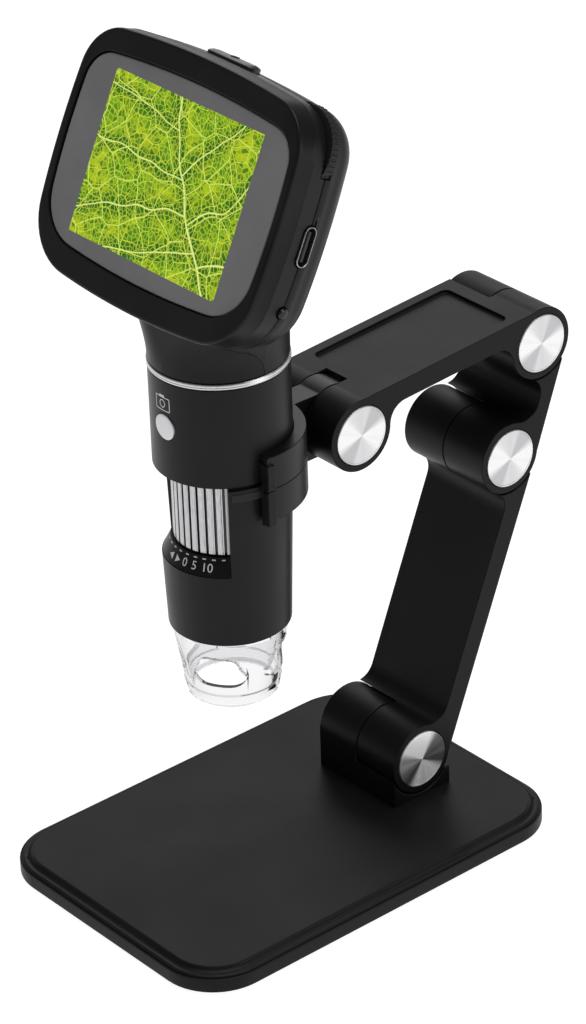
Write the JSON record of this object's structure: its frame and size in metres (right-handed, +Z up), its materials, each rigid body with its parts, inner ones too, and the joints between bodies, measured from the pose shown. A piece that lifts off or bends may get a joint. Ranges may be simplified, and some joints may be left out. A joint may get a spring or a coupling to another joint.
{
  "type": "lcd digital microscope",
  "caption": "Handheld digital microscope with a tilted screen, held upright by a clip on a folding three-link stand with a flat base.",
  "frame": {"origin": "on the table, under the middle of the part's outline", "axes": "+Z up; +X to the right as the screen is seen; -Y towards the user, the way the screen faces"},
  "size_m": [0.078, 0.1352, 0.2043],
  "materials": {
    "black_plastic": "satin black",
    "spun_disc": "spun, bright",
    "silver_trim": "polished",
    "silver_wheel": "satin",
    "steel": "plain",
    "foot_rubber": "matte",
    "washer_plastic": "smooth",
    "screen": "clear cover glass over the display",
    "display": "smooth",
    "clear_plastic": "clear, slightly milky",
    "lens_glass": "clear, coated",
    "circuit_board": "solder mask",
    "battery_wrap": "foil",
    "led_yellow": "clear resin",
    "lamp": "clear"
  },
  "bodies": {
    "base": {"base_plate": "black_plastic", "base_weight": "steel", "base_cover": "black_plastic", "base_feet": "foot_rubber", "base_screws": "steel", "base_hinge_bolt": "steel", "base_hinge_nut": "steel", "base_hinge_far_cap": "spun_disc", "base_hinge_washer": "washer_plastic"},
    "lower_arm": {"lower_arm": "black_plastic", "base_hinge_cap": "spun_disc", "elbow_hinge_bolt": "steel", "elbow_hinge_nut": "steel", "elbow_hinge_far_cap": "spun_disc", "elbow_hinge_washer": "washer_plastic"},
    "middle_link": {"middle_link": "black_plastic", "elbow_hinge_cap": "spun_disc", "top_hinge_bolt": "steel", "top_hinge_nut": "steel", "top_hinge_far_cap": "spun_disc", "top_hinge_washer": "washer_plastic"},
    "top_arm": {"top_arm": "black_plastic", "top_hinge_cap": "spun_disc", "front_hinge_cap": "spun_disc", "front_hinge_far_cap": "spun_disc", "front_hinge_bolt": "steel", "front_hinge_nut": "steel", "front_hinge_washers": "washer_plastic"},
    "clip": {"clip": "black_plastic"},
    "microscope": {"upper_barrel": "black_plastic", "lower_barrel": "black_plastic", "trim_ring": "silver_trim", "snapshot_switch": "circuit_board", "scale_ring": "black_plastic", "sensor_board": "circuit_board", "led_board": "circuit_board", "leds": "led_yellow", "head_front_shell": "black_plastic", "head_back_shell": "black_plastic", "neck_cover": "black_plastic", "screen_glass": "screen", "lcd_module": "display", "main_board": "circuit_board", "battery": "battery_wrap", "power_switch": "circuit_board", "dimmer_spindle": "steel", "usb_socket": "steel", "status_light": "lamp", "head_screws": "steel"},
    "snapshot_button": {"snapshot_button": "silver_trim"},
    "focus_wheel": {"focus_wheel": "silver_wheel"},
    "lens": {"lens_tube": "black_plastic", "objective_lens": "lens_glass"},
    "hood": {"clear_hood": "clear_plastic"},
    "power_button": {"power_button": "black_plastic"},
    "dimmer_wheel": {"dimmer_wheel": "black_plastic"}
  },
  "joints": [
    {"name": "base_hinge", "type": "hinge", "parent": "base", "child": "lower_arm", "pos_m": [0, 0.01972, 0.0157], "axis": [1, 0, 0], "range_deg": [-35, 30]},
    {"name": "elbow_hinge", "type": "hinge", "parent": "lower_arm", "child": "middle_link", "pos_m": [0, 0.04877, 0.0855], "axis": [-1, 0, 0], "range_deg": [-25, 35]},
    {"name": "top_hinge", "type": "hinge", "parent": "middle_link", "child": "top_arm", "pos_m": [0, 0.05878, 0.11186], "axis": [1, 0, 0], "range_deg": [-40, 20]},
    {"name": "front_hinge", "type": "hinge", "parent": "top_arm", "child": "clip", "pos_m": [0, 0.00369, 0.10849], "axis": [-1, 0, 0], "range_deg": [-40, 60]},
    {"name": "barrel_turn", "type": "hinge", "parent": "clip", "child": "microscope", "pos_m": [0, -0.02521, 0.10849], "axis": [0, 0, 1], "continuous": true},
    {"name": "focus_turn", "type": "hinge", "parent": "microscope", "child": "focus_wheel", "pos_m": [0, -0.02521, 0.10149], "axis": [0, 0, 1], "range_deg": [-180, 180]},
    {"name": "lens_slide", "type": "slide", "parent": "microscope", "child": "lens", "axis": [0, 0, 1], "range_m": [-0.003, 0.003]},
    {"name": "hood_pull", "type": "slide", "parent": "microscope", "child": "hood", "axis": [0, 0, -1], "range_m": [0, 0.012]},
    {"name": "snapshot_press", "type": "slide", "parent": "microscope", "child": "snapshot_button", "axis": [0, 1, 0], "range_m": [0, 0.0004], "stiffness_N_per_m": 600},
    {"name": "power_press", "type": "slide", "parent": "microscope", "child": "power_button", "axis": [0, -0.4289, -0.9033], "range_m": [0, 0.0004], "stiffness_N_per_m": 600},
    {"name": "dimmer_turn", "type": "hinge", "parent": "microscope", "child": "dimmer_wheel", "pos_m": [0.0277, -0.02194, 0.19165], "axis": [0, -0.9033, 0.4289], "range_deg": [-140, 140]}
  ],
  "couplings": [
    {"joint": "lens_slide", "follows": "focus_turn", "m_per_rad": 0.00095}
  ]
}
